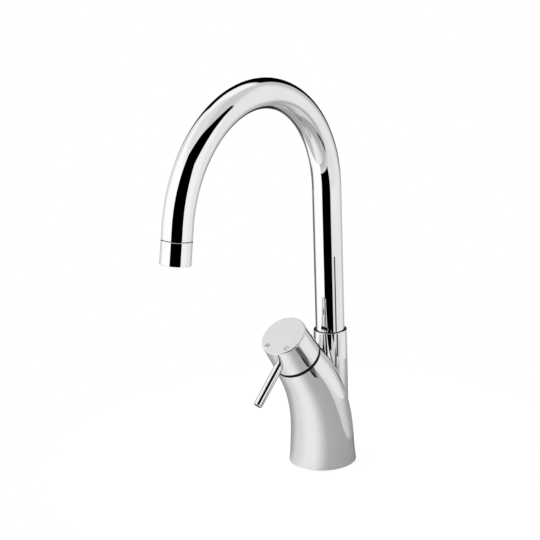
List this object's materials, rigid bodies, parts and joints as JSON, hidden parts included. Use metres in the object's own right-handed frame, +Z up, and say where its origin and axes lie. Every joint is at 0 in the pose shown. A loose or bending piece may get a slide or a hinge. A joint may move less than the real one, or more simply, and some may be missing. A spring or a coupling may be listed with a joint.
{
  "type": "kitchen faucet",
  "caption": "Single-lever kitchen faucet: leaning round body with a tilting cap and thin lever, and a tall arched swivel spout.",
  "frame": {"origin": "centre of the foot, on the worktop, at the mouth of the stud hole", "axes": "+Z up, -Y to the front, where the lever and the outlet are, +X to the right seen from the front"},
  "size_m": [0.0595, 0.2293, 0.354],
  "materials": {
    "chrome": "polished",
    "chrome_cap": "polished side, satin top face",
    "chrome_lever": "polished",
    "steel": "satin",
    "brass": "machined",
    "black_plastic": "matte",
    "white_plastic": "matte",
    "grey_plastic": "matte",
    "aerator_plastic": "matte",
    "ceramic": "lapped",
    "rubber": "matte"
  },
  "bodies": {
    "body": {"body_casting": "chrome", "foot_seal": "rubber", "upper_glide_ring": "black_plastic", "spout_stop_screw": "steel", "dome_ring": "black_plastic", "cartridge_nut": "brass", "cartridge_housing": "white_plastic", "cartridge_base": "grey_plastic", "port_seals": "rubber", "fixed_disc": "ceramic"},
    "spout": {"spout_tube": "chrome", "spout_stem": "brass", "spout_o_rings": "rubber", "lower_glide_ring": "white_plastic", "outlet_nipple": "brass", "aerator_housing": "chrome", "aerator_washer": "rubber", "aerator_core": "aerator_plastic"},
    "rotor": {"cartridge_rotor": "grey_plastic", "pivot_pin": "steel"},
    "sliding_disc": {"moving_disc": "ceramic", "disc_driver": "white_plastic"},
    "handle": {"cartridge_stem": "steel", "handle_cap": "chrome_cap", "lever_rod": "chrome_lever", "clamp_screw": "steel", "screw_plug": "grey_plastic"}
  },
  "joints": [
    {"name": "spout_swivel", "type": "hinge", "parent": "body", "child": "spout", "pos_m": [0, 0.0142, 0.1], "axis": [0, 0, 1], "continuous": true},
    {"name": "handle_turn", "type": "hinge", "parent": "body", "child": "rotor", "pos_m": [0, -0.02136, 0.08973], "axis": [0, -0.5664, 0.8241], "range_deg": [-45, 45]},
    {"name": "handle_lift", "type": "hinge", "parent": "rotor", "child": "handle", "pos_m": [0, -0.02136, 0.08973], "axis": [-1, 0, 0], "range_deg": [0, 20]},
    {"name": "disc_slide", "type": "slide", "parent": "rotor", "child": "sliding_disc", "axis": [0, -0.8241, -0.5664], "range_m": [0, 0.0028]}
  ],
  "couplings": [
    {"joint": "disc_slide", "follows": "handle_lift", "m_per_rad": 0.008}
  ]
}
